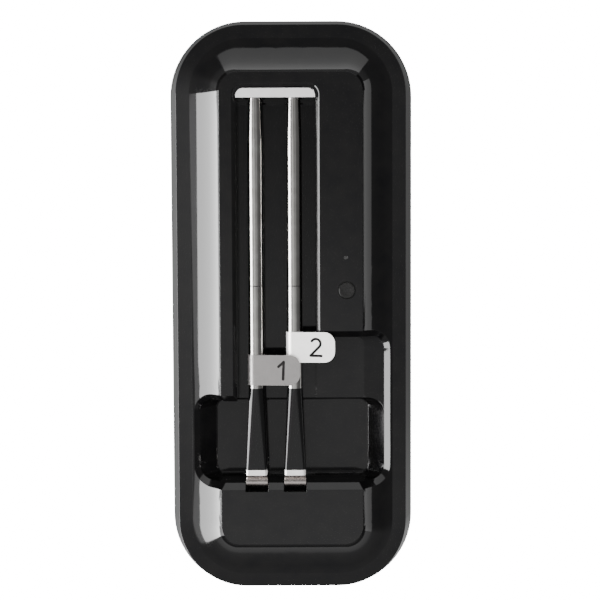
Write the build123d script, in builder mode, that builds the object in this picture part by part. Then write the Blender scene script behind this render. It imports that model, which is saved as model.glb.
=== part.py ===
from build123d import *
import math
import os

os.makedirs("parts", exist_ok=True)

# A two-probe wireless meat thermometer lying in its charging dock. Millimetres, +Z up.
# The dock lies flat on its rubber feet at z = 0, +Y points to the probe tips, +X to the battery side.
# The origin is under the middle of the dock.

# ---- driving dimensions: the dock -------------------------------------------------------------
CASE_WIDTH = 82.0
CASE_LENGTH = 194.0
CASE_RADIUS = 25.5       # corner radius of the base outline
FOOT_Z = 0.8             # the underside of the case stands this far above the surface
WALL = 1.8               # moulded wall thickness
RIM_INSET = 2.75         # draft of the outer side wall
RIM_Z = 10.9             # top of the outer side wall
CREASE_INSET = 7.3       # inner edge of the sloping flange
CREASE_Z = 11.7
PLATEAU_INSET = 17.6
PLATEAU_Z = 20.4
PLATEAU_RADIUS = 6.0
FLANK_TURN = 47.0        # the hollow flank steepens by this many degrees from crease to plateau
FLANK_STEPS = 6
END_STRETCH = 1.7        # the flanks at the two ends are this much longer than at the sides

# ---- driving dimensions: the recesses ---------------------------------------------------------
CHANNEL_LEFT = -18.1
CHANNEL_RIGHT = 8.15
CHANNEL_TOP = 72.9
CHANNEL_Z = 7.2
CHANNEL_CORNER = 2.6
CHANNEL_BEVEL = 1.2
SHELF_FLAT_RIGHT = 24.3
SHELF_TOP = -9.0
SHELF_Z = 8.6
POCKET_HALF = 31.0       # half width between the pocket's side walls
POCKET_TOP = -30.2
POCKET_BOTTOM = -57.4
POCKET_BEND_Z = 10.6     # the side walls slope inwards below this height
POCKET_Z = 5.0
POCKET_FLOOR_HALF = 25.7
POCKET_CORNER = 4.5
POCKET_ROUND = 1.0       # rounding between the pocket's floor and its sloping walls
RIM_BEVEL = 2.1          # broad bevel round the finger pocket and the shelf

# ---- driving dimensions: the probes -----------------------------------------------------------
PROBE_X = {1: -11.7, 2: 1.0}
PROBE_Z = 17.4           # height of the probe axes
TIP_Y = 75.1
TAPER_Y = 56.0           # the shaft starts to narrow here
PLATE_EDGE_Y = 69.4      # lower edge of the plate over the tips
HANDLE_Y = -25.9
CAP_Y = -52.9
END_Y = -54.9
SHAFT_R = 2.56
NECK_R = 2.15            # shaft radius where it goes under the plate
SHAFT_BORE_R = 2.1
HANDLE_END = (7.1, 5.4)  # width and height of the handle where it meets its cap
HANDLE_CORNER = 1.1
GROOVE_Y = 7.9           # insertion mark round the shaft

# ---- driving dimensions: number flags ---------------------------------------------------------
FLAG_TOP_Y = {1: -14.7, 2: -7.2}
FLAG_HEIGHT = 10.0
FLAG_REACH = {1: 14.8, 2: 13.5}  # from the probe axis to the free end of the tag
FLAG_SHEET = 0.25
FLAG_BORE_R = 2.6
FLAG_CORNER = 3.6
FLAG_TILT = {1: 5.5, 2: 5.0}

# ---- driving dimensions: power and electronics ------------------------------------------------
CELL_X = {1: 15.6, 2: 26.2}
CELL_Z = 7.95
CELL_R = 5.2
CELL_BOTTOM_Y = 12.0
CELL_LENGTH = 43.3
NUB_LENGTH = 1.2
BUTTON_XY = (18.2, 6.5)
BUTTON_R = 2.7
LED_XY = (17.8, 17.2)
BOARD_Z = 14.6
BOARD_THICK = 1.0
COVER_THICK = 1.8
SCREW_XY = [(-32, 84), (32, 84), (-32, -84), (32, -84), (-35.2, 12), (35.2, 12)]
FOOT_XY = [(-18, 86), (18, 86), (-18, -86), (18, -86)]
MAGNET_XY = [(-26, 72), (26, 72), (-27, -75), (27, -75)]
DOOR = {"x0": 9.8, "x1": 32.2, "y0": 10.5, "y1": 58.0}
TOP_Z = PLATEAU_Z + 1.0  # cutters run this high to clear the skin

# ---- smaller sizes -----------------------------------------------------------------------------
PLATE_Z = 19.7           # underside of the plate over the tips
PLATE_THICK = 0.5
PLATE_GAP = 0.5          # between the plate's rounded edge and the end of the channel
PLATE_LEG_X = [-5.35, 6.2]
PLATE_LEG_Y = 71.6
SLIT_HALF = 0.35         # half width of the slits for the contact legs
NEST_HALF = 3.1
NEST_Z = 12.6            # floor of the nests under the tips
SLOT_HALF = 3.75
SLOT_BACK_Y = -60.1
SLOT_Z = 9.2
LEG_Y = -58.6            # middle plane of the handle contact's leg
CONTACT_FACE_Y = -55.75
CONTACT_SHEET = 0.4
ARCH_Z = 17.4
GUIDE_R = 0.6
SCREW_R = 1.1
SCREW_HEAD_R = 2.0
BOARD_SCREW_R = 0.8
BOARD_SCREW_XY = [(13.6, 64.5), (19.6, -1.6)]
FOOT_R = 4.5
MAGNET_R = 5.0
CELL_WALL_LOW_Y = 9.6    # middle planes of the walls at the ends of the cells
CELL_WALL_HIGH_Y = 58.9
CELL_WALL_HALF = 0.6
DOOR_TAB_X = [15.0, 27.0]
BUTTON_BOTTOM_Z = 17.15
BUTTON_TOP_Z = 20.7
DISH_R = 9.0
FLEX_Z = 2.9
FLEX_THICK = 0.2
TIP_FLAT_R = 0.5
BORE_TAPER_Y = 54.0      # the bore of the shaft narrows from here
BORE_END_Y = 65.0
BORE_END_R = 1.3
PROBE_BOARD_Y = (12.0, 58.0)
HANDLE_BORE_R = 1.6


def save(block, name):
    """Label a finished piece and write it."""
    block.part.label = name
    export_step(block.part, "parts/" + name + ".step")
    print(name, round(block.part.volume, 1), block.part.is_valid)


def ring(inset, z, stretch=0.0, radius=None):
    """A rounded rectangle, concentric with the base outline."""
    corner = CASE_RADIUS - inset if radius is None else radius
    with BuildSketch(Plane.XY.offset(z)) as outline:
        RectangleRounded(CASE_WIDTH - 2 * inset, CASE_LENGTH - 2 * (inset + stretch), corner)
    return outline.sketch


def area(x0, x1, y0, y1, z, corner=0.0):
    """A rectangle between two X and two Y limits at height z, rounded if corner is given."""
    with BuildSketch(Plane.XY.offset(z)) as outline:
        with Locations(((x0 + x1) / 2, (y0 + y1) / 2)):
            if corner > 0:
                RectangleRounded(x1 - x0, y1 - y0, corner)
            else:
                Rectangle(x1 - x0, y1 - y0)
    return outline.sketch


def flank_section(step):
    """One section of the hollow flank, a circular arc from the crease up to the plateau's edge."""
    run = PLATEAU_INSET - CREASE_INSET
    rise = PLATEAU_Z - CREASE_Z
    half_turn = math.radians(FLANK_TURN / 2)
    start = math.atan2(rise, run) - half_turn
    radius = math.hypot(run, rise) / (2 * math.sin(half_turn))
    angle = start + 2 * half_turn * step / FLANK_STEPS
    across = radius * (math.sin(angle) - math.sin(start))
    up = radius * (math.cos(start) - math.cos(angle))
    share = across / run
    crease_corner = CASE_RADIUS - CREASE_INSET
    corner = crease_corner + (PLATEAU_RADIUS - crease_corner) * share
    return ring(CREASE_INSET + across, CREASE_Z + up, END_STRETCH * share, corner)


# ---- the skin of the case, as a solid block ----------------------------------------------------
with BuildPart() as case_block:
    loft([ring(0, FOOT_Z), ring(RIM_INSET, RIM_Z)], ruled=True)
    loft([ring(RIM_INSET, RIM_Z), ring(CREASE_INSET, CREASE_Z)], ruled=True)
    loft([flank_section(step) for step in range(FLANK_STEPS + 1)])


def recess_block(grow):
    """Channel, shelf and finger pocket as one block, grown on every side by the wall thickness."""
    pocket_mid = area(-POCKET_HALF - grow, POCKET_HALF + grow, POCKET_BOTTOM - grow,
                      POCKET_TOP + grow, POCKET_BEND_Z, POCKET_CORNER + grow)
    pocket_floor = area(-POCKET_FLOOR_HALF - grow, POCKET_FLOOR_HALF + grow, POCKET_BOTTOM + 0.4 - grow,
                        POCKET_TOP - 0.6 + grow, POCKET_Z - grow, 3.2 + grow)
    shelf_mid = area(0, POCKET_HALF + grow, POCKET_TOP - 12, SHELF_TOP + grow, POCKET_BEND_Z,
                     POCKET_CORNER + grow)
    shelf_floor = area(0, SHELF_FLAT_RIGHT + grow, POCKET_TOP - 2, SHELF_TOP - 0.5 + grow,
                       SHELF_Z - grow, 3.2 + grow)
    with BuildPart() as block:
        loft([pocket_floor, pocket_mid], ruled=True)
        extrude(pocket_mid, amount=TOP_Z - POCKET_BEND_Z)
        loft([shelf_floor, shelf_mid], ruled=True)
        extrude(shelf_mid, amount=TOP_Z - POCKET_BEND_Z)
        extrude(area(CHANNEL_LEFT - grow, CHANNEL_RIGHT + grow, POCKET_TOP - 8, CHANNEL_TOP + grow,
                     CHANNEL_Z - grow, CHANNEL_CORNER + grow), amount=TOP_Z - CHANNEL_Z + grow)
        fillet(block.edges().group_by(Axis.Z)[0], POCKET_ROUND)
    return block


recess = recess_block(0.0)
tub = recess_block(WALL)

# ---- the hollow inside of the case -------------------------------------------------------------
with BuildPart() as case_hollow:
    inner = [ring(WALL + 0.1, FOOT_Z - 0.1), ring(4.5, 8.4), ring(8.6, 10.5),
             ring(12.4, 12.9, 0.6, 12.0), ring(19.0, PLATEAU_Z - WALL, END_STRETCH, 5.0)]
    loft(inner, ruled=True)
    add(tub.part, mode=Mode.SUBTRACT)
    # bosses for the case screws
    with Locations(*[Location((x, y, FOOT_Z + COVER_THICK)) for x, y in SCREW_XY]):
        Cylinder(3.0, 16, align=(Align.CENTER, Align.CENTER, Align.MIN), mode=Mode.SUBTRACT)
    # bosses for the board screws, hanging from the roof
    with Locations(*[Location((x, y, BOARD_Z + BOARD_THICK)) for x, y in BOARD_SCREW_XY]):
        Cylinder(2.2, 8, align=(Align.CENTER, Align.CENTER, Align.MIN), mode=Mode.SUBTRACT)
    # block that carries the tip plate, over the nests of the two tips
    extrude(area(CHANNEL_LEFT - WALL, CHANNEL_RIGHT + WALL, PLATE_EDGE_Y - WALL, 77.0, CHANNEL_Z - WALL),
            amount=14, mode=Mode.SUBTRACT)
    # walls behind the slots of the handle contacts
    extrude(area(PROBE_X[1] - 5.5, PROBE_X[2] + 5.5, -62.0, POCKET_BOTTOM, 3.2), amount=18,
            mode=Mode.SUBTRACT)


def is_flat_top(edge):
    """The edge lies in the plateau."""
    box = edge.bounding_box()
    return abs(box.min.Z - PLATEAU_Z) < 0.01 and abs(box.max.Z - PLATEAU_Z) < 0.01


def borders_channel(edge):
    """The edge runs along a side or the upper end of the probe channel."""
    middle = edge.center()
    on_side = abs(middle.X - CHANNEL_LEFT) < 0.01 or abs(middle.X - CHANNEL_RIGHT) < 0.01
    return on_side or 65 < middle.Y < CHANNEL_TOP + 0.1


# ---- top housing --------------------------------------------------------------------------------
with BuildPart() as top_housing:
    add(case_block.part)
    add(recess.part, mode=Mode.SUBTRACT)
    mouth = top_housing.edges(Select.NEW).filter_by(lambda e: e.bounding_box().min.Z > POCKET_BEND_Z + 1)
    chamfer(mouth.filter_by(lambda e: not borders_channel(e)), RIM_BEVEL)
    lips = top_housing.edges().filter_by(is_flat_top).filter_by(borders_channel)
    chamfer(lips.filter_by(lambda e: abs(e.center().X) < 23), CHANNEL_BEVEL)
    # the tip block closes the upper end of the channel, up to the underside of the plate
    extrude(area(CHANNEL_LEFT - 0.5, CHANNEL_RIGHT + 0.5, PLATE_EDGE_Y, CHANNEL_TOP + 0.5, CHANNEL_Z - 0.5),
            amount=PLATE_Z - CHANNEL_Z + 0.5)
    add(case_hollow.part, mode=Mode.SUBTRACT)
    # rebate for the bottom cover
    extrude(ring(1.1, FOOT_Z - 0.1), amount=COVER_THICK + 0.2, mode=Mode.SUBTRACT)
    for x in PROBE_X.values():
        # nest for a tip: open under the plate, then a blind hole under the plateau
        extrude(area(x - NEST_HALF, x + NEST_HALF, PLATE_EDGE_Y - 1, CHANNEL_TOP, NEST_Z),
                amount=TOP_Z - NEST_Z, mode=Mode.SUBTRACT)
        extrude(area(x - NEST_HALF, x + NEST_HALF, CHANNEL_TOP - 1, TIP_Y + 0.7, NEST_Z),
                amount=PROBE_Z + 1.5 - NEST_Z, mode=Mode.SUBTRACT)
        # slot for a handle contact, cut into the lower wall of the pocket
        extrude(area(x - SLOT_HALF, x + SLOT_HALF, SLOT_BACK_Y, POCKET_BOTTOM + 1, SLOT_Z),
                amount=TOP_Z - SLOT_Z, mode=Mode.SUBTRACT)
        # slit in the floor of the slot, for the leg of the contact
        extrude(area(x - SLOT_HALF, x + SLOT_HALF, LEG_Y - SLIT_HALF, LEG_Y + SLIT_HALF,
                     FOOT_Z + COVER_THICK), amount=SLOT_Z - FOOT_Z - COVER_THICK + 0.1, mode=Mode.SUBTRACT)
    # slits for the two legs of the tip plate
    for x in PLATE_LEG_X:
        extrude(area(x - 1.6, x + 1.6, PLATE_LEG_Y - SLIT_HALF, PLATE_LEG_Y + SLIT_HALF, 3.0),
                amount=TOP_Z - 3.0, mode=Mode.SUBTRACT)
    # button hole and light guide hole through the roof
    with Locations((*BUTTON_XY, TOP_Z)):
        Hole(BUTTON_R + 0.1, 4.0)
    with Locations((*LED_XY, TOP_Z)):
        Hole(GUIDE_R + 0.05, 4.0)
    # screw holes
    with Locations(*[Location((x, y, FOOT_Z + COVER_THICK - 0.1)) for x, y in SCREW_XY]):
        Cylinder(SCREW_R + 0.05, 6.2, align=(Align.CENTER, Align.CENTER, Align.MIN), mode=Mode.SUBTRACT)
    with Locations(*[Location((x, y, BOARD_Z + BOARD_THICK - 0.1)) for x, y in BOARD_SCREW_XY]):
        Cylinder(BOARD_SCREW_R + 0.05, 2.7, align=(Align.CENTER, Align.CENTER, Align.MIN), mode=Mode.SUBTRACT)
save(top_housing, "top_housing")

# ---- bottom cover -------------------------------------------------------------------------------
with BuildPart() as bottom_cover:
    extrude(ring(1.2, FOOT_Z), amount=COVER_THICK)
    # sockets for the magnets
    with Locations(*[Location((x, y, FOOT_Z + COVER_THICK - 0.2)) for x, y in MAGNET_XY]):
        Cylinder(MAGNET_R + 1.1, 2.4, align=(Align.CENTER, Align.CENTER, Align.MIN))
    with Locations(*[Location((x, y, FOOT_Z + COVER_THICK - 0.6)) for x, y in MAGNET_XY]):
        Cylinder(MAGNET_R + 0.05, 3.0, align=(Align.CENTER, Align.CENTER, Align.MIN), mode=Mode.SUBTRACT)
    # end walls of the battery compartment carry the contacts
    for y in (CELL_WALL_LOW_Y, CELL_WALL_HIGH_Y):
        extrude(area(10.3, 29.6, y - CELL_WALL_HALF, y + CELL_WALL_HALF, FOOT_Z + COVER_THICK - 0.2),
                amount=9.2)
    # opening for the battery door
    extrude(area(DOOR["x0"] - 0.15, DOOR["x1"] + 0.15, DOOR["y0"] - 0.15, DOOR["y1"] + 0.1, FOOT_Z - 0.1),
            amount=COVER_THICK + 0.2, mode=Mode.SUBTRACT)
    # notches through which the door's hook tabs reach over the cover
    for x in DOOR_TAB_X:
        extrude(area(x - 2.4, x + 2.4, DOOR["y1"] + 0.1, DOOR["y1"] + 3.0, FOOT_Z + COVER_THICK),
                amount=1.4, mode=Mode.SUBTRACT)
    # counterbored screw holes and the recesses of the feet
    with Locations(*[Location((x, y, FOOT_Z - 0.1)) for x, y in SCREW_XY]):
        Cylinder(SCREW_HEAD_R + 0.15, 1.0, align=(Align.CENTER, Align.CENTER, Align.MIN), mode=Mode.SUBTRACT)
        Cylinder(SCREW_R + 0.25, 3.0, align=(Align.CENTER, Align.CENTER, Align.MIN), mode=Mode.SUBTRACT)
    with Locations(*[Location((x, y, FOOT_Z - 0.1)) for x, y in FOOT_XY]):
        Cylinder(FOOT_R + 0.05, 0.8, align=(Align.CENTER, Align.CENTER, Align.MIN), mode=Mode.SUBTRACT)
save(bottom_cover, "bottom_cover")

# ---- battery door: a flat lid with two hook tabs at its upper end --------------------------------
with BuildPart() as battery_door:
    extrude(area(DOOR["x0"], DOOR["x1"], DOOR["y0"], DOOR["y1"], FOOT_Z, 1.2), amount=COVER_THICK - 0.1)
    for x in DOOR_TAB_X:
        extrude(area(x - 2, x + 2, DOOR["y1"] - 1.0, DOOR["y1"], FOOT_Z + COVER_THICK - 0.2), amount=0.8)
        extrude(area(x - 2, x + 2, DOOR["y1"] - 1.0, DOOR["y1"] + 1.05, FOOT_Z + COVER_THICK + 0.1),
                amount=0.5)
    # finger notch at the lower end
    with Locations((21, DOOR["y0"] + 2.2, FOOT_Z)):
        Cylinder(4.0, 1.2, mode=Mode.SUBTRACT)
    # stiffening rib inside, under the gap between the cells
    extrude(area(20.4, 21.4, DOOR["y0"] + 4, DOOR["y1"] - 4, FOOT_Z + COVER_THICK - 0.2), amount=1.2)
save(battery_door, "battery_door")

# ---- fasteners, feet and magnets -----------------------------------------------------------------
with BuildPart() as case_screws:
    with Locations(*[Location((x, y, FOOT_Z + 0.1)) for x, y in SCREW_XY]):
        Cylinder(SCREW_HEAD_R, 0.8, align=(Align.CENTER, Align.CENTER, Align.MIN))
        Cylinder(SCREW_R, 7.2, align=(Align.CENTER, Align.CENTER, Align.MIN))
        Box(2.4, 0.5, 0.8, align=(Align.CENTER, Align.CENTER, Align.CENTER), mode=Mode.SUBTRACT)
        Box(0.5, 2.4, 0.8, align=(Align.CENTER, Align.CENTER, Align.CENTER), mode=Mode.SUBTRACT)
save(case_screws, "case_screws")

with BuildPart() as rubber_feet:
    with Locations(*[Location((x, y, 0)) for x, y in FOOT_XY]):
        Cylinder(FOOT_R, FOOT_Z + 0.7, align=(Align.CENTER, Align.CENTER, Align.MIN))
    chamfer(rubber_feet.edges().group_by(Axis.Z)[0], 0.3)
save(rubber_feet, "rubber_feet")

with BuildPart() as magnets:
    with Locations(*[Location((x, y, FOOT_Z + COVER_THICK - 0.6)) for x, y in MAGNET_XY]):
        Cylinder(MAGNET_R, 2.5, align=(Align.CENTER, Align.CENTER, Align.MIN))
save(magnets, "magnets")

# ---- electronics ---------------------------------------------------------------------------------
with BuildPart() as circuit_board:
    extrude(area(10.8, 22.8, -4.5, 68.0, BOARD_Z, 1.0), amount=BOARD_THICK)
    with Locations(*[Location((x, y, BOARD_Z + BOARD_THICK)) for x, y in BOARD_SCREW_XY]):
        Hole(BOARD_SCREW_R + 0.15)
save(circuit_board, "circuit_board")

with BuildPart() as board_screws:
    with Locations(*[Location((x, y, BOARD_Z - 0.8)) for x, y in BOARD_SCREW_XY]):
        Cylinder(1.5, 0.8, align=(Align.CENTER, Align.CENTER, Align.MIN))
        Cylinder(BOARD_SCREW_R, 4.1, align=(Align.CENTER, Align.CENTER, Align.MIN))
save(board_screws, "board_screws")

BOARD_TOP = BOARD_Z + BOARD_THICK
with BuildPart() as control_chips:
    extrude(area(12.5, 18.5, 30, 36, BOARD_TOP), amount=0.9)
    extrude(area(13.0, 20.5, 41, 53, BOARD_TOP), amount=1.4)
    extrude(area(12.5, 15.5, 23, 27, BOARD_TOP), amount=0.8)
save(control_chips, "control_chips")

with BuildPart() as tact_switch:
    extrude(area(BUTTON_XY[0] - 2.5, BUTTON_XY[0] + 2.5, BUTTON_XY[1] - 2.5, BUTTON_XY[1] + 2.5,
                 BOARD_TOP, 0.4), amount=0.7)
    with Locations((*BUTTON_XY, BOARD_TOP + 0.7)):
        Cylinder(1.6, 0.25, align=(Align.CENTER, Align.CENTER, Align.MIN))
save(tact_switch, "tact_switch")

with BuildPart() as status_led:
    extrude(area(LED_XY[0] - 0.8, LED_XY[0] + 0.8, LED_XY[1] - 0.5, LED_XY[1] + 0.5, BOARD_TOP), amount=0.6)
save(status_led, "status_led")

with BuildPart() as led_light_guide:
    with Locations((*LED_XY, BOARD_TOP + 0.7)):
        Cylinder(1.1, 1.4, align=(Align.CENTER, Align.CENTER, Align.MIN))
        Cylinder(GUIDE_R, PLATEAU_Z - BOARD_TOP - 0.7, align=(Align.CENTER, Align.CENTER, Align.MIN))
save(led_light_guide, "led_light_guide")

with BuildPart() as power_button:
    with Locations((*BUTTON_XY, BUTTON_BOTTOM_Z)):
        Cylinder(1.3, 1.0, align=(Align.CENTER, Align.CENTER, Align.MIN))
    with Locations((*BUTTON_XY, BUTTON_BOTTOM_Z + 0.4)):
        Cylinder(BUTTON_R + 0.9, 0.7, align=(Align.CENTER, Align.CENTER, Align.MIN))
        Cylinder(BUTTON_R, BUTTON_TOP_Z - BUTTON_BOTTOM_Z - 0.4,
                 align=(Align.CENTER, Align.CENTER, Align.MIN))
    fillet(power_button.edges().group_by(Axis.Z)[-1], 0.35)
    # shallow dish for the fingertip
    with Locations((*BUTTON_XY, BUTTON_TOP_Z + DISH_R - 0.25)):
        Sphere(DISH_R, mode=Mode.SUBTRACT)
save(power_button, "power_button")

# ---- cells and their contacts --------------------------------------------------------------------
for number, x in CELL_X.items():
    # the two cells lie head to tail
    flip = 1 if number == 1 else -1
    middle = CELL_BOTTOM_Y + (CELL_LENGTH + NUB_LENGTH) / 2
    start = middle - flip * (CELL_LENGTH + NUB_LENGTH) / 2
    with BuildPart(Plane(origin=(x, start, CELL_Z), x_dir=(1, 0, 0), z_dir=(0, flip, 0))) as battery:
        Cylinder(CELL_R, CELL_LENGTH, align=(Align.CENTER, Align.CENTER, Align.MIN))
        fillet(battery.edges(), 0.5)
        with Locations((0, 0, CELL_LENGTH)):
            Cylinder(1.9, NUB_LENGTH, align=(Align.CENTER, Align.CENTER, Align.MIN))
    save(battery, "battery_" + str(number))

CELL_TOP_Y = CELL_BOTTOM_Y + CELL_LENGTH + NUB_LENGTH
LOW_FACE_Y = CELL_WALL_LOW_Y + CELL_WALL_HALF + 0.05
HIGH_FACE_Y = CELL_WALL_HIGH_Y - CELL_WALL_HALF - 0.05


def facing(x, y, side):
    """A plane across the cells at y that faces up the dock (side 1) or down it (side -1)."""
    return Plane(origin=(x, y, CELL_Z), x_dir=(1, 0, 0), z_dir=(0, side, 0))


with BuildPart() as battery_springs:
    # stepped coil springs bear on the flat ends: cell 1 at its lower end, cell 2 at its upper end
    for x, y, side in ((CELL_X[1], LOW_FACE_Y, 1), (CELL_X[2], HIGH_FACE_Y, -1)):
        with BuildSketch(facing(x, y, side)):
            Rectangle(8.0, 7.6)
        extrude(amount=0.3)
        for outer_r, height in ((3.1, 0.8), (2.6, 1.25), (2.1, 1.7)):
            with BuildSketch(facing(x, y, side)):
                Circle(outer_r)
                Circle(outer_r - 0.6, mode=Mode.SUBTRACT)
            extrude(amount=height)
save(battery_springs, "battery_springs")

with BuildPart() as battery_contact_plates:
    # plates with a raised pad that meets the nub
    for x, y, side in ((CELL_X[2], LOW_FACE_Y, 1), (CELL_X[1], HIGH_FACE_Y, -1)):
        with BuildSketch(facing(x, y, side)):
            Rectangle(8.0, 7.6)
        extrude(amount=0.3)
        with BuildSketch(facing(x, y, side)):
            Circle(2.4)
        extrude(amount=1.7)
save(battery_contact_plates, "battery_contact_plates")

# ---- charging contacts ---------------------------------------------------------------------------
with BuildPart() as tip_contact_plate:
    plate_outline = area(CHANNEL_LEFT + 0.15, CHANNEL_RIGHT - 0.15, PLATE_EDGE_Y, CHANNEL_TOP - PLATE_GAP,
                         PLATE_Z)
    extrude(plate_outline, amount=PLATE_THICK)
    upper_corners = tip_contact_plate.edges().filter_by(Axis.Z).group_by(Axis.Y)[-1]
    fillet(upper_corners, CHANNEL_CORNER - 0.1)
    for x in PLATE_LEG_X:
        extrude(area(x - 1.4, x + 1.4, PLATE_LEG_Y - 0.2, PLATE_LEG_Y + 0.2, 4.2),
                amount=PLATE_Z - 4.2 + 0.1)
save(tip_contact_plate, "tip_contact_plate")

for number, x in PROBE_X.items():
    with BuildPart() as handle_contact:
        with BuildSketch(Plane.YZ.offset(x)):
            with BuildLine() as spring_line:
                leg = Line((LEG_Y, 3.2), (LEG_Y, ARCH_Z))
                arch = RadiusArc(leg @ 1, (CONTACT_FACE_Y, ARCH_Z), (CONTACT_FACE_Y - LEG_Y) / 2)
                face = Line(arch @ 1, (CONTACT_FACE_Y, ARCH_Z - 1.6))
                Line(face @ 1, (CONTACT_FACE_Y - 0.9, ARCH_Z - 2.9))
            trace(line_width=CONTACT_SHEET)
        extrude(amount=SLOT_HALF - 0.2, both=True)
    save(handle_contact, "handle_contact_" + str(number))

with BuildPart() as charge_flex:
    # flat ribbon from the handle contacts, under the channel, then up beside the cells to the board
    extrude(area(-16.0, 8.9, -63.8, -61.0, FLEX_Z), amount=FLEX_THICK)
    extrude(area(5.9, 8.9, -63.8, 0.0, FLEX_Z), amount=FLEX_THICK)
save(charge_flex, "charge_flex")

# ---- the two probes ------------------------------------------------------------------------------
def across(x, y, width, height, corner):
    """A rounded rectangle across a probe at y."""
    with BuildSketch(Plane(origin=(x, y, PROBE_Z), x_dir=(1, 0, 0), z_dir=(0, -1, 0))) as outline:
        RectangleRounded(width, height, corner)
    return outline.sketch


for number, x in PROBE_X.items():
    tag = str(number)
    lower = Plane(origin=(x, 0, PROBE_Z), x_dir=(1, 0, 0), z_dir=(0, 0, 1))
    axis = Axis((x, 0, PROBE_Z), (0, 1, 0))

    with BuildPart() as probe_shaft:
        with BuildSketch(lower):
            with BuildLine():
                tip = Line((0, TIP_Y), (TIP_FLAT_R, TIP_Y))
                nose = Line(tip @ 1, (NECK_R, PLATE_EDGE_Y + 0.6))
                Line(nose @ 1, (NECK_R, PLATE_EDGE_Y - 0.6))
                Line((NECK_R, PLATE_EDGE_Y - 0.6), (SHAFT_R, TAPER_Y))
                Line((SHAFT_R, TAPER_Y), (SHAFT_R, GROOVE_Y + 0.2))
                Line((SHAFT_R, GROOVE_Y + 0.2), (SHAFT_R - 0.12, GROOVE_Y + 0.2))
                Line((SHAFT_R - 0.12, GROOVE_Y + 0.2), (SHAFT_R - 0.12, GROOVE_Y - 0.2))
                Line((SHAFT_R - 0.12, GROOVE_Y - 0.2), (SHAFT_R, GROOVE_Y - 0.2))
                Line((SHAFT_R, GROOVE_Y - 0.2), (SHAFT_R, HANDLE_Y))
                Line((SHAFT_R, HANDLE_Y), (SHAFT_BORE_R, HANDLE_Y))
                Line((SHAFT_BORE_R, HANDLE_Y), (SHAFT_BORE_R, BORE_TAPER_Y))
                Line((SHAFT_BORE_R, BORE_TAPER_Y), (BORE_END_R, BORE_END_Y))
                Line((BORE_END_R, BORE_END_Y), (0, BORE_END_Y))
                Line((0, BORE_END_Y), (0, TIP_Y))
            make_face()
        revolve(axis=axis)
        fillet(probe_shaft.edges().group_by(Axis.Y)[-1], TIP_FLAT_R * 0.9)
    save(probe_shaft, "probe_" + tag + "_shaft")

    with BuildPart() as probe_handle:
        # a round neck that widens to a flat paddle, with a bore for the antenna
        neck = across(x, HANDLE_Y, 2 * SHAFT_R, 2 * SHAFT_R, SHAFT_R - 0.06)
        loft([neck, across(x, CAP_Y, *HANDLE_END, HANDLE_CORNER)], ruled=True)
        with Locations(Plane(origin=(x, CAP_Y, PROBE_Z), x_dir=(1, 0, 0), z_dir=(0, 1, 0))):
            Cylinder(HANDLE_BORE_R, HANDLE_Y - CAP_Y, align=(Align.CENTER, Align.CENTER, Align.MIN),
                     mode=Mode.SUBTRACT)
    save(probe_handle, "probe_" + tag + "_handle")

    with BuildPart() as probe_end_cap:
        extrude(across(x, CAP_Y, *HANDLE_END, HANDLE_CORNER), amount=CAP_Y - END_Y)
        fillet(probe_end_cap.edges().group_by(Axis.Y)[0], 0.4)
    save(probe_end_cap, "probe_" + tag + "_end_cap")

    with BuildPart() as probe_sensor:
        # temperature sensor bead and its support, deep in the tip end of the tube
        with BuildSketch(Plane(origin=(x, BORE_END_Y - 0.5, PROBE_Z), x_dir=(1, 0, 0), z_dir=(0, -1, 0))):
            Circle(1.1)
        extrude(amount=6.0)
    save(probe_sensor, "probe_" + tag + "_sensor")

    with BuildPart() as probe_board:
        # slim circuit board along the tube
        extrude(area(x - 1.5, x + 1.5, *PROBE_BOARD_Y, PROBE_Z - 0.3), amount=0.6)
    save(probe_board, "probe_" + tag + "_board")

    with BuildPart() as probe_cell:
        # rechargeable store behind the insertion mark
        with BuildSketch(Plane(origin=(x, 10.0, PROBE_Z), x_dir=(1, 0, 0), z_dir=(0, -1, 0))):
            Circle(SHAFT_BORE_R - 0.15)
        extrude(amount=30.0)
    save(probe_cell, "probe_" + tag + "_cell")

    with BuildPart() as probe_antenna:
        # antenna rod in the ceramic handle
        with BuildSketch(Plane(origin=(x, HANDLE_Y - 1.0, PROBE_Z), x_dir=(1, 0, 0), z_dir=(0, -1, 0))):
            Circle(HANDLE_BORE_R - 0.3)
        extrude(amount=HANDLE_Y - CAP_Y - 2.0)
    save(probe_antenna, "probe_" + tag + "_antenna")

    # number flag: one strip of sheet metal, wrapped round the shaft, its ends laid together as a tag
    tilt = math.radians(FLAG_TILT[number])
    tag_direction = (math.cos(tilt), 0, math.sin(tilt))
    flag_plane = Plane(origin=(x, FLAG_TOP_Y[number], PROBE_Z), x_dir=tag_direction, z_dir=(0, -1, 0))
    with BuildPart() as flag:
        with BuildSketch(flag_plane):
            Circle(FLAG_BORE_R + FLAG_SHEET)
            with Locations((FLAG_REACH[number] / 2, FLAG_BORE_R + FLAG_SHEET / 2)):
                Rectangle(FLAG_REACH[number], FLAG_SHEET)
            Circle(FLAG_BORE_R, mode=Mode.SUBTRACT)
        extrude(amount=FLAG_HEIGHT)
        short_edges = flag.edges().filter_by(lambda e: abs(e.length - FLAG_SHEET) < 0.01)
        fillet(short_edges.sort_by(Axis.X)[-2:], FLAG_CORNER)
    save(flag, "flag_" + tag)
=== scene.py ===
import math

import bmesh
import bpy
from mathutils import Matrix, Vector


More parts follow.
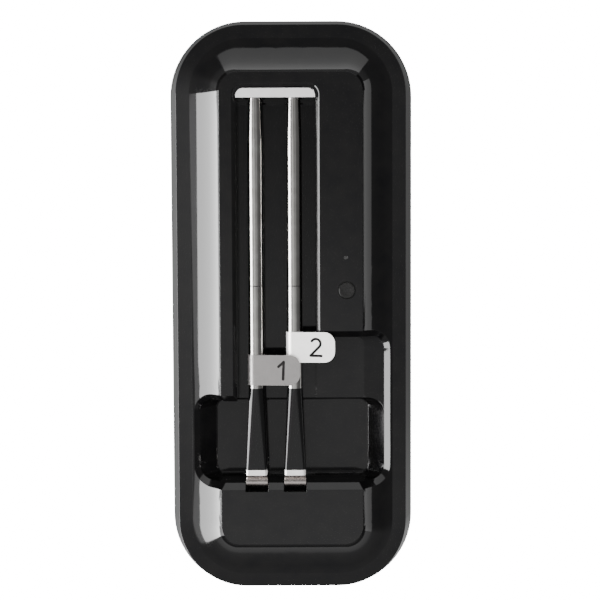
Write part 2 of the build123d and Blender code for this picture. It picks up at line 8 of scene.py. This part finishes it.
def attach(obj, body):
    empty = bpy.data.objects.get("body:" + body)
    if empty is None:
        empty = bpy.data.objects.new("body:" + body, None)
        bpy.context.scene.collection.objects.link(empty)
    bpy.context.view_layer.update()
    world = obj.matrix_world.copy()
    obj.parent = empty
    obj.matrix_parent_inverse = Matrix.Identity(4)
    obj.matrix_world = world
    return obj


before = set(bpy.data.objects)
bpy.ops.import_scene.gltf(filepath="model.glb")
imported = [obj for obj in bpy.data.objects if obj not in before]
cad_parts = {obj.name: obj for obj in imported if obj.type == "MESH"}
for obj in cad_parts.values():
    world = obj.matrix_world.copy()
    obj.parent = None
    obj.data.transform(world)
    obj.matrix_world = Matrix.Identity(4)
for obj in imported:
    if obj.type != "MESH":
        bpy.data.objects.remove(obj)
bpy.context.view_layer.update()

# A two-probe meat thermometer in its charging dock, seen from above. Metres, +Z up.
MM = 0.001

# ---- camera: straight above, leaning slightly towards the probe tips ----------------------------
CAMERA_DISTANCE = 435.2 * MM
CAMERA_LEAN = math.radians(3.22)
CAMERA_ROLL = math.radians(0.25)
CAMERA_TARGET = Vector((2.82 * MM, 2.24 * MM, 0.0))
CAMERA_LENS = 75.95
CAMERA_NEAR = 0.01

# ---- light ----------------------------------------------------------------------------------------
FLOOR_HALF = 1.5
FLOOR_TONE = 0.82
FLOOR_GLOW = 14.0
# brightness of the dome by the height of a direction, from straight down (-1) to straight up (1)
DOME_TONES = ((-1.0, 0.36), (-0.50, 0.38), (-0.15, 0.45), (-0.02, 0.26), (0.50, 0.22), (0.87, 0.34),
              (0.91, 0.72), (0.95, 0.66), (0.985, 0.50), (1.0, 0.48))
# the dome's lighter side lies to the left and at the handle end, its darker side opposite
LIGHTER_SIDE = (-0.5, -1.0, 0.0)
SIDE_BLEND = 0.12
DARKER_SHARE = 0.55
LIGHTER_SHARE = 1.35
# soft panels round the dock: name, middle, width and height, the point faced, brightness. Some reach
# below the floor, because the gloss doesn't mirror the floor and shows what lies beyond it.
PANELS = (
    ("left_softbox", (-0.60, -0.20, 0.02), (0.72, 0.74), (0.0, -0.20, 0.02), 15.0),
    ("left_halo", (-0.60, -0.20, 0.50), (0.72, 0.22), (0.0, -0.20, 0.50), 1.9),
    ("tip_end_panel", (0.05, 0.60, 0.055), (0.80, 0.61), (0.05, 0.0, 0.055), 1.15),
    ("right_low_panel", (0.60, 0.0, -0.20), (0.80, 0.34), (0.0, 0.0, -0.20), 0.85),
)
# even light from straight above, which no gloss mirrors
FILL_HEIGHT = 0.90
FILL_WIDTH = 1.2
FILL_BRIGHTNESS = 9.0


def make_camera():
    """The camera looks down on the middle of the dock."""
    data = bpy.data.cameras.new("camera")
    data.lens = CAMERA_LENS
    data.clip_start = CAMERA_NEAR
    camera = bpy.data.objects.new("camera", data)
    bpy.context.collection.objects.link(camera)
    away = Vector((0.0, math.sin(CAMERA_LEAN), math.cos(CAMERA_LEAN)))
    right = Vector((1.0, 0.0, 0.0))
    up = away.cross(right)
    turned_right = math.cos(CAMERA_ROLL) * right - math.sin(CAMERA_ROLL) * up
    turned_up = math.sin(CAMERA_ROLL) * right + math.cos(CAMERA_ROLL) * up
    turn = Matrix((turned_right, turned_up, away)).transposed()
    camera.matrix_world = Matrix.Translation(CAMERA_TARGET + away * CAMERA_DISTANCE) @ turn.to_4x4()
    bpy.context.scene.camera = camera


def make_area(name, middle, size, faced, brightness, in_reflections=True):
    """A rectangular soft light whose surface has the given brightness and faces a point."""
    data = bpy.data.lights.new(name, "AREA")
    data.shape = "RECTANGLE"
    data.size, data.size_y = size
    data.energy = brightness * math.pi * size[0] * size[1]
    light = bpy.data.objects.new(name, data)
    bpy.context.collection.objects.link(light)
    light.location = middle
    light.rotation_euler = (Vector(faced) - Vector(middle)).to_track_quat("-Z", "Y").to_euler()
    light.visible_camera = False
    light.visible_glossy = in_reflections


def make_dome():
    """A soft studio dome with its own tone at each height, brighter on its lighter side."""
    world = bpy.data.worlds.new("studio")
    world.use_nodes = True
    tree = world.node_tree
    direction = tree.nodes.new("ShaderNodeTexCoord")
    split = tree.nodes.new("ShaderNodeSeparateXYZ")
    tree.links.new(direction.outputs["Generated"], split.inputs[0])
    height = tree.nodes.new("ShaderNodeMapRange")
    height.inputs["From Min"].default_value = -1.0
    tree.links.new(split.outputs["Z"], height.inputs["Value"])
    ramp = tree.nodes.new("ShaderNodeValToRGB")
    stops = ramp.color_ramp.elements
    while len(stops) < len(DOME_TONES):
        stops.new(0.5)
    for stop, (level, tone) in zip(stops, DOME_TONES):
        stop.position = (level + 1.0) / 2.0
        stop.color = (tone, tone, tone, 1.0)
    tree.links.new(height.outputs["Result"], ramp.inputs["Fac"])
    side = tree.nodes.new("ShaderNodeVectorMath")
    side.operation = "DOT_PRODUCT"
    side.inputs[1].default_value = LIGHTER_SIDE
    tree.links.new(direction.outputs["Generated"], side.inputs[0])
    share = tree.nodes.new("ShaderNodeMapRange")
    share.interpolation_type = "SMOOTHSTEP"
    share.inputs["From Min"].default_value = -SIDE_BLEND
    share.inputs["From Max"].default_value = SIDE_BLEND
    share.inputs["To Min"].default_value = DARKER_SHARE
    share.inputs["To Max"].default_value = LIGHTER_SHARE
    tree.links.new(side.outputs["Value"], share.inputs["Value"])
    background = tree.nodes["Background"]
    tree.links.new(ramp.outputs["Color"], background.inputs["Color"])
    tree.links.new(share.outputs["Result"], background.inputs["Strength"])
    bpy.context.scene.world = world


def make_stage():
    """A plain pale floor and soft studio light."""
    mesh = bpy.data.meshes.new("floor")
    corners = [(-FLOOR_HALF, -FLOOR_HALF, 0), (FLOOR_HALF, -FLOOR_HALF, 0),
               (FLOOR_HALF, FLOOR_HALF, 0), (-FLOOR_HALF, FLOOR_HALF, 0)]
    mesh.from_pydata(corners, [], [(0, 1, 2, 3)])
    floor = bpy.data.objects.new("floor", mesh)
    bpy.context.collection.objects.link(floor)
    material = bpy.data.materials.new("floor_white")
    material.use_nodes = True
    shader = material.node_tree.nodes["Principled BSDF"]
    shader.inputs["Base Color"].default_value = (FLOOR_TONE, FLOOR_TONE, FLOOR_TONE, 1.0)
    shader.inputs["Roughness"].default_value = 0.9
    shader.inputs["Specular IOR Level"].default_value = 0.1
    shader.inputs["Emission Color"].default_value = (1.0, 1.0, 1.0, 1.0)
    shader.inputs["Emission Strength"].default_value = FLOOR_GLOW
    mesh.materials.append(material)
    # the floor is a bright backdrop: the object takes its light from the dome and the panels alone
    floor.visible_glossy = False
    floor.visible_diffuse = False
    for name, middle, size, faced, brightness in PANELS:
        make_area(name, middle, size, faced, brightness)
    overhead = (0.0, 0.0, FILL_HEIGHT)
    fill_size = (FILL_WIDTH, FILL_WIDTH)
    make_area("floor_fill", overhead, fill_size, (0.0, 0.0, 0.0), FILL_BRIGHTNESS, in_reflections=False)
    make_dome()


# ---- materials: each has its own grain, in the frame's metres -------------------------------------
EDGE_SAMPLES = 4
# the insertion groove round each probe, whose shade is painted into the steel's colour as a thin dark
# ring
MARK_Y_MM = 7.9
MARK_HALF_MM = 0.17
# the printed sleeve of a dock cell ends here, and its pale band begins
SLEEVE_END_MM = 46.0
SLEEVE_FADE_MM = 0.2


def start(name, colour, roughness, metallic=0.0):
    """A new material with its shader set to plain values."""
    material = bpy.data.materials.new(name)
    material.use_nodes = True
    shader = material.node_tree.nodes["Principled BSDF"]
    shader.inputs["Base Color"].default_value = (*colour, 1.0)
    shader.inputs["Roughness"].default_value = roughness
    shader.inputs["Metallic"].default_value = metallic
    return material, material.node_tree, shader


def place(tree, stretch=(1.0, 1.0, 1.0)):
    """The point on the piece, in the frame, stretched along the axes for a directional grain."""
    point = tree.nodes.new("ShaderNodeTexCoord")
    mapping = tree.nodes.new("ShaderNodeMapping")
    mapping.inputs["Scale"].default_value = stretch
    tree.links.new(point.outputs["Object"], mapping.inputs["Vector"])
    return mapping.outputs["Vector"]


def noise(tree, cell_mm, detail=3.0, stretch=(1.0, 1.0, 1.0)):
    """Soft irregular grain whose cells are about cell_mm across."""
    node = tree.nodes.new("ShaderNodeTexNoise")
    node.inputs["Scale"].default_value = 1.0 / (cell_mm * MM)
    node.inputs["Detail"].default_value = detail
    tree.links.new(place(tree, stretch), node.inputs["Vector"])
    return node.outputs["Fac"]


def cells(tree, cell_mm):
    """Fine rounded cells, as on spark-eroded plastic."""
    node = tree.nodes.new("ShaderNodeTexVoronoi")
    node.feature = "SMOOTH_F1"
    node.inputs["Scale"].default_value = 1.0 / (cell_mm * MM)
    tree.links.new(place(tree), node.inputs["Vector"])
    return node.outputs["Distance"]


def spread(tree, source, low, high, start_at=0.3, end_at=0.7):
    """source turned into a number between low and high."""
    node = tree.nodes.new("ShaderNodeMapRange")
    node.inputs["From Min"].default_value = start_at
    node.inputs["From Max"].default_value = end_at
    node.inputs["To Min"].default_value = low
    node.inputs["To Max"].default_value = high
    tree.links.new(source, node.inputs["Value"])
    return node.outputs["Result"]


def tint(tree, shader, source, first, second, start_at=0.3, end_at=0.7):
    """The base colour runs from first to second with source."""
    ramp = tree.nodes.new("ShaderNodeValToRGB")
    low, high = ramp.color_ramp.elements
    low.position, high.position = start_at, end_at
    low.color, high.color = (*first, 1.0), (*second, 1.0)
    tree.links.new(source, ramp.inputs["Fac"])
    tree.links.new(ramp.outputs["Color"], shader.inputs["Base Color"])
    return ramp.outputs["Color"]


def relief(tree, shader, source, depth_mm, strength=1.0, edge_mm=0.0):
    """Bump from source, depth_mm high, over edges rounded by edge_mm."""
    bump = tree.nodes.new("ShaderNodeBump")
    bump.inputs["Strength"].default_value = strength
    bump.inputs["Distance"].default_value = depth_mm * MM
    tree.links.new(source, bump.inputs["Height"])
    if edge_mm > 0:
        bevel = tree.nodes.new("ShaderNodeBevel")
        bevel.samples = EDGE_SAMPLES
        bevel.inputs["Radius"].default_value = edge_mm * MM
        tree.links.new(bevel.outputs["Normal"], bump.inputs["Normal"])
    tree.links.new(bump.outputs["Normal"], shader.inputs["Normal"])


def gloss_black():
    """High-gloss black ABS: a faint moulding ripple, and polish that varies a little."""
    material, tree, shader = start("gloss_black", (0.0018, 0.0018, 0.0020), 0.07)
    smear = noise(tree, 14.0, 4.0)
    tree.links.new(spread(tree, smear, 0.05, 0.11), shader.inputs["Roughness"])
    tint(tree, shader, noise(tree, 5.0, 5.0), (0.0014, 0.0014, 0.0016), (0.0024, 0.0023, 0.0023))
    relief(tree, shader, noise(tree, 6.0, 1.0), 0.004, 1.0, edge_mm=0.22)
    return material


def satin_black():
    """The button's cap: satin black with a fine even grain."""
    material, tree, shader = start("satin_black", (0.005, 0.005, 0.005), 0.30)
    shader.inputs["Specular IOR Level"].default_value = 0.2
    grain = noise(tree, 0.35, 3.0)
    tree.links.new(spread(tree, grain, 0.24, 0.36), shader.inputs["Roughness"])
    tint(tree, shader, grain, (0.004, 0.004, 0.004), (0.007, 0.0068, 0.0066))
    relief(tree, shader, grain, 0.01, 0.6, edge_mm=0.1)
    return material


def matt_black():
    """Spark-eroded black plastic of the cover and the battery door."""
    material, tree, shader = start("matt_black", (0.022, 0.022, 0.023), 0.58)
    grain = cells(tree, 0.5)
    wear = noise(tree, 9.0, 4.0)
    tree.links.new(spread(tree, wear, 0.48, 0.66), shader.inputs["Roughness"])
    tint(tree, shader, wear, (0.018, 0.018, 0.019), (0.030, 0.030, 0.030))
    relief(tree, shader, grain, 0.05, 0.7, edge_mm=0.15)
    return material


def rubber():
    """Matt rubber of the feet, slightly dusty."""
    material, tree, shader = start("rubber", (0.045, 0.045, 0.045), 0.82)
    dust = noise(tree, 1.6, 6.0)
    tint(tree, shader, dust, (0.034, 0.034, 0.035), (0.075, 0.073, 0.070), 0.35, 0.75)
    relief(tree, shader, noise(tree, 0.25, 4.0), 0.03, 0.8, edge_mm=0.2)
    return material


def ring_at_y(tree, at_mm, half_mm):
    """0 in a fine ring round the probe at the given Y, 1 elsewhere."""
    axes = tree.nodes.new("ShaderNodeSeparateXYZ")
    tree.links.new(place(tree), axes.inputs["Vector"])
    offset = tree.nodes.new("ShaderNodeMath")
    offset.operation = "SUBTRACT"
    offset.inputs[1].default_value = at_mm * MM
    tree.links.new(axes.outputs["Y"], offset.inputs[0])
    distance = tree.nodes.new("ShaderNodeMath")
    distance.operation = "ABSOLUTE"
    tree.links.new(offset.outputs["Value"], distance.inputs[0])
    return spread(tree, distance.outputs["Value"], 0.0, 1.0, 0.5 * half_mm * MM, half_mm * MM)


def polished_steel():
    """Drawn and polished tube: hair-fine lines along it, handling marks, and painted shade for the
    insertion groove as a dark ring.
    """
    material, tree, shader = start("polished_steel", (0.60, 0.585, 0.565), 0.15, 1.0)
    lines = noise(tree, 0.12, 2.0, (1.0, 0.01, 1.0))
    marks = noise(tree, 4.0, 4.0)
    steel = tint(tree, shader, marks, (0.56, 0.545, 0.525), (0.66, 0.645, 0.625))
    # painted shade: the steel's colour turns dark in a thin ring at the insertion groove
    groove_shade_painted = tree.nodes.new("ShaderNodeMix")
    groove_shade_painted.data_type = "RGBA"
    groove_shade_painted.inputs["A"].default_value = (0.16, 0.145, 0.135, 1.0)
    tree.links.new(ring_at_y(tree, MARK_Y_MM, MARK_HALF_MM), groove_shade_painted.inputs["Factor"])
    tree.links.new(steel, groove_shade_painted.inputs["B"])
    tree.links.new(groove_shade_painted.outputs["Result"], shader.inputs["Base Color"])
    tree.links.new(spread(tree, marks, 0.11, 0.20), shader.inputs["Roughness"])
    relief(tree, shader, lines, 0.0015, 0.8, edge_mm=0.08)
    return material


def satin_steel(name, colour, metallic, roughness, edge_mm):
    """Brushed steel, with fine lines that run across the dock."""
    material, tree, shader = start(name, colour, roughness, metallic)
    lines = noise(tree, 0.10, 3.0, (0.05, 1.0, 1.0))
    cloud = noise(tree, 3.0, 3.0)
    darker = tuple(0.93 * tone for tone in colour)
    tint(tree, shader, cloud, darker, colour)
    tree.links.new(spread(tree, lines, roughness - 0.05, roughness + 0.05), shader.inputs["Roughness"])
    relief(tree, shader, lines, 0.003, 0.5, edge_mm=edge_mm)
    return material


def plated_metal(name, colour, roughness):
    """Thin bright plating on stamped or turned metal, a little cloudy."""
    material, tree, shader = start(name, colour, roughness, 1.0)
    cloud = noise(tree, 1.2, 4.0)
    darker = tuple(0.82 * tone for tone in colour)
    tint(tree, shader, cloud, darker, colour)
    tree.links.new(spread(tree, cloud, roughness - 0.06, roughness + 0.08), shader.inputs["Roughness"])
    relief(tree, shader, noise(tree, 0.3, 2.0), 0.004, 0.5, edge_mm=0.06)
    return material


def glazed_ceramic():
    """Black zirconia of the handles: deep gloss with a barely uneven glaze."""
    material, tree, shader = start("glazed_ceramic", (0.0016, 0.0016, 0.0018), 0.09)
    glaze = noise(tree, 2.5, 2.0)
    tree.links.new(spread(tree, glaze, 0.07, 0.13), shader.inputs["Roughness"])
    tint(tree, shader, noise(tree, 0.4, 3.0), (0.0012, 0.0012, 0.0014), (0.0022, 0.0022, 0.0022))
    relief(tree, shader, glaze, 0.003, 0.6, edge_mm=0.1)
    return material


def white_ceramic():
    """Unglazed ceramic of the hidden sensor and rod."""
    material, tree, shader = start("white_ceramic", (0.80, 0.78, 0.72), 0.6)
    speck = noise(tree, 0.3, 5.0)
    tint(tree, shader, speck, (0.70, 0.67, 0.60), (0.84, 0.82, 0.77))
    relief(tree, shader, speck, 0.01, 0.5)
    return material


def circuit_green():
    """Solder mask over copper tracks."""
    material, tree, shader = start("circuit_green", (0.02, 0.16, 0.07), 0.32)
    tracks = tree.nodes.new("ShaderNodeTexBrick")
    tracks.inputs["Scale"].default_value = 1.0 / (6.0 * MM)
    tracks.inputs["Mortar Size"].default_value = 0.03
    tracks.inputs["Mortar Smooth"].default_value = 0.3
    tracks.inputs["Color1"].default_value = (0.015, 0.13, 0.055, 1.0)
    tracks.inputs["Color2"].default_value = (0.018, 0.16, 0.065, 1.0)
    tracks.inputs["Mortar"].default_value = (0.05, 0.30, 0.10, 1.0)
    tree.links.new(place(tree), tracks.inputs["Vector"])
    tree.links.new(tracks.outputs["Color"], shader.inputs["Base Color"])
    relief(tree, shader, tracks.outputs["Fac"], 0.03, 0.6)
    return material


def chip_epoxy():
    """Moulded chip package with a sandy surface."""
    material, tree, shader = start("chip_epoxy", (0.02, 0.02, 0.02), 0.55)
    sand = noise(tree, 0.12, 4.0)
    tint(tree, shader, sand, (0.014, 0.014, 0.015), (0.034, 0.034, 0.034))
    relief(tree, shader, sand, 0.01, 0.7, edge_mm=0.08)
    return material


def smoked_lens():
    """Smoked plastic of the light guide and the lamp under it."""
    material, tree, shader = start("smoked_lens", (0.012, 0.012, 0.012), 0.25)
    cloud = noise(tree, 0.5, 2.0)
    tint(tree, shader, cloud, (0.009, 0.009, 0.009), (0.016, 0.016, 0.015))
    tree.links.new(spread(tree, cloud, 0.18, 0.30), shader.inputs["Roughness"])
    return material


def cell_sleeve():
    """Glossy dark blue sleeve of a cell, with a pale band at the tip end of the dock's cells."""
    material, tree, shader = start("cell_sleeve", (0.05, 0.12, 0.25), 0.3)
    split = tree.nodes.new("ShaderNodeSeparateXYZ")
    tree.links.new(place(tree), split.inputs[0])
    fade_end = (SLEEVE_END_MM + SLEEVE_FADE_MM) * MM
    band = spread(tree, split.outputs["Y"], 0.0, 1.0, SLEEVE_END_MM * MM, fade_end)
    tint(tree, shader, band, (0.03, 0.075, 0.17), (0.55, 0.56, 0.57), 0.45, 0.55)
    crinkle = noise(tree, 0.9, 3.0)
    tree.links.new(spread(tree, crinkle, 0.22, 0.38), shader.inputs["Roughness"])
    relief(tree, shader, crinkle, 0.02, 0.5, edge_mm=0.2)
    return material


def amber_ribbon():
    """Polyimide ribbon with copper conductors showing through."""
    material, tree, shader = start("amber_ribbon", (0.45, 0.20, 0.04), 0.3)
    strands = tree.nodes.new("ShaderNodeTexWave")
    strands.inputs["Scale"].default_value = 1.0 / (2.2 * MM)
    strands.inputs["Distortion"].default_value = 0.0
    tree.links.new(place(tree), strands.inputs["Vector"])
    tint(tree, shader, strands.outputs["Fac"], (0.34, 0.14, 0.02), (0.56, 0.27, 0.08), 0.4, 0.6)
    relief(tree, shader, strands.outputs["Fac"], 0.02, 0.5)
    return material


def print_black():
    """Baked black marking of the number tags, slightly uneven."""
    material, tree, shader = start("print_black", (0.006, 0.006, 0.006), 0.5)
    shader.inputs["Specular IOR Level"].default_value = 0.06
    mottle = noise(tree, 0.25, 4.0)
    tint(tree, shader, mottle, (0.004, 0.004, 0.004), (0.009, 0.008, 0.008))
    tree.links.new(spread(tree, mottle, 0.42, 0.58), shader.inputs["Roughness"])
    relief(tree, shader, mottle, 0.005, 0.5)
    return material


def dress_nodes():
    """Every CAD node gets its material."""
    steel = polished_steel()
    cap = satin_steel("cap_steel", (0.80, 0.775, 0.76), 0.75, 0.36, 0.1)
    contact = plated_metal("contact_nickel", (0.78, 0.71, 0.68), 0.26)
    screw = plated_metal("black_zinc", (0.25, 0.25, 0.26), 0.38)
    green = circuit_green()
    sleeve = cell_sleeve()
    ceramic = white_ceramic()
    cover = matt_black()
    lens = smoked_lens()
    finishes = {
        "top_housing": gloss_black(),
        "bottom_cover": cover,
        "battery_door": cover,
        "case_screws": screw,
        "board_screws": screw,
        "rubber_feet": rubber(),
        "magnets": plated_metal("magnet_nickel", (0.70, 0.69, 0.66), 0.2),
        "circuit_board": green,
        "control_chips": chip_epoxy(),
        "tact_switch": plated_metal("switch_shell", (0.6, 0.6, 0.6), 0.35),
        "status_led": lens,
        "led_light_guide": lens,
        "power_button": satin_black(),
        "battery_1": sleeve,
        "battery_2": sleeve,
        "battery_springs": contact,
        "battery_contact_plates": contact,
        "tip_contact_plate": satin_steel("plate_steel", (0.66, 0.65, 0.645), 0.7, 0.34, 0.1),
        "handle_contact_1": contact,
        "handle_contact_2": contact,
        "charge_flex": amber_ribbon(),
        # the two tags are the same steel: flag_1's darker colour is painted shade, and flag_2's lighter,
        # partly diffuse colour is a painted highlight
        "flag_1": satin_steel("flag_steel_1_painted_shade", (0.25, 0.24, 0.235), 0.8, 0.32, 0.08),
        "flag_2": satin_steel("flag_steel_2_painted_highlight", (0.80, 0.785, 0.77), 0.55, 0.32, 0.08),
    }
    handle = glazed_ceramic()
    for number in ("1", "2"):
        prefix = "probe_" + number + "_"
        finishes[prefix + "shaft"] = steel
        finishes[prefix + "end_cap"] = cap
        finishes[prefix + "handle"] = handle
        finishes[prefix + "sensor"] = ceramic
        finishes[prefix + "antenna"] = ceramic
        finishes[prefix + "board"] = green
        finishes[prefix + "cell"] = sleeve
    for node, material in finishes.items():
        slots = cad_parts[node].data.materials
        slots.clear()
        slots.append(material)


# ---- the numbers on the tags ----------------------------------------------------------------------
PRINT_WIDTH = 0.85 * MM
PRINT_LIFT = 0.012 * MM
PRINT_THICK = 0.02 * MM
STROKE_STEP = 0.2        # each stroke lies higher than the last by this share of its thickness
END_SWEEP_DEG = 75       # the round end of a stroke spans this angle to each side
END_STEPS = 8
SHAFT_HEIGHT = 17.4 * MM
TAG_FACE = 2.85 * MM     # from the probe's axis to the upper face of its tag
TAGS = {
    "1": {"axis_x": -11.7 * MM, "tilt": math.radians(5.5), "body": "tag_1"},
    "2": {"axis_x": 1.0 * MM, "tilt": math.radians(5.0), "body": "tag_2"},
}


def arc(centre, radius, first_deg, last_deg, steps=14):
    """Points on a circular arc."""
    angles = [math.radians(first_deg + (last_deg - first_deg) * i / steps) for i in range(steps + 1)]
    return [Vector((centre[0] + radius * math.cos(a), centre[1] + radius * math.sin(a))) for a in angles]


def numeral_lines(number):
    """The middle line of a numeral's strokes, in millimetres along the tag and along the probe."""
    if number == "1":
        stem = [Vector((9.38, -16.9)), Vector((9.18, -22.65))]
        flag = [Vector((9.35, -17.0)), Vector((7.65, -18.5))]
        return [stem, flag]
    bowl = arc((7.2, -10.95), 1.55, 148.0, -38.0)
    foot = [Vector((5.45, -14.9)), Vector((9.05, -15.0))]
    return [bowl + [foot[0]], foot]


def ribbon(line, width):
    """The outline of a stroke of the given width along line, with round ends."""
    half = width / 2
    left, right = [], []
    for i, point in enumerate(line):
        before = line[max(i - 1, 0)]
        after = line[min(i + 1, len(line) - 1)]
        along = (after - before).normalized()
        side = Vector((-along.y, along.x)) * half
        left.append(point + side)
        right.append(point - side)
    ends = []
    for tip, inner in ((line[-1], line[-2]), (line[0], line[1])):
        heading = math.degrees(math.atan2(tip.y - inner.y, tip.x - inner.x))
        ends.append(arc(tip, half, heading + END_SWEEP_DEG, heading - END_SWEEP_DEG, END_STEPS))
    return left, ends[0], list(reversed(right)), ends[1]


def make_numeral(number):
    """A numeral printed on its tag, as one thin raised film for each stroke."""
    tag = TAGS[number]
    along = Vector((math.cos(tag["tilt"]), 0.0, math.sin(tag["tilt"])))
    normal = Vector((-math.sin(tag["tilt"]), 0.0, math.cos(tag["tilt"])))
    base = Vector((tag["axis_x"], 0.0, SHAFT_HEIGHT)) + normal * (TAG_FACE + PRINT_LIFT)
    shape = bmesh.new()
    for layer, line in enumerate(numeral_lines(number)):
        left, far_end, right, near_end = ribbon([point * MM for point in line], PRINT_WIDTH)
        outline = left + far_end + right + near_end
        lift = normal * (layer * STROKE_STEP * PRINT_THICK)
        places = [base + lift + along * point.x + Vector((0, point.y, 0)) for point in outline]
        shape.faces.new([shape.verts.new(spot) for spot in places])
    bmesh.ops.triangulate(shape, faces=shape.faces[:])
    film = bmesh.ops.extrude_face_region(shape, geom=shape.faces[:])
    raised = [item for item in film["geom"] if isinstance(item, bmesh.types.BMVert)]
    bmesh.ops.translate(shape, verts=raised, vec=normal * PRINT_THICK)
    bmesh.ops.recalc_face_normals(shape, faces=shape.faces[:])
    mesh = bpy.data.meshes.new("numeral_" + number)
    shape.to_mesh(mesh)
    shape.free()
    piece = bpy.data.objects.new("numeral_" + number, mesh)
    bpy.context.collection.objects.link(piece)
    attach(piece, tag["body"])
    return piece


make_camera()
make_stage()
dress_nodes()
marking = print_black()
for number in TAGS:
    make_numeral(number).data.materials.append(marking)
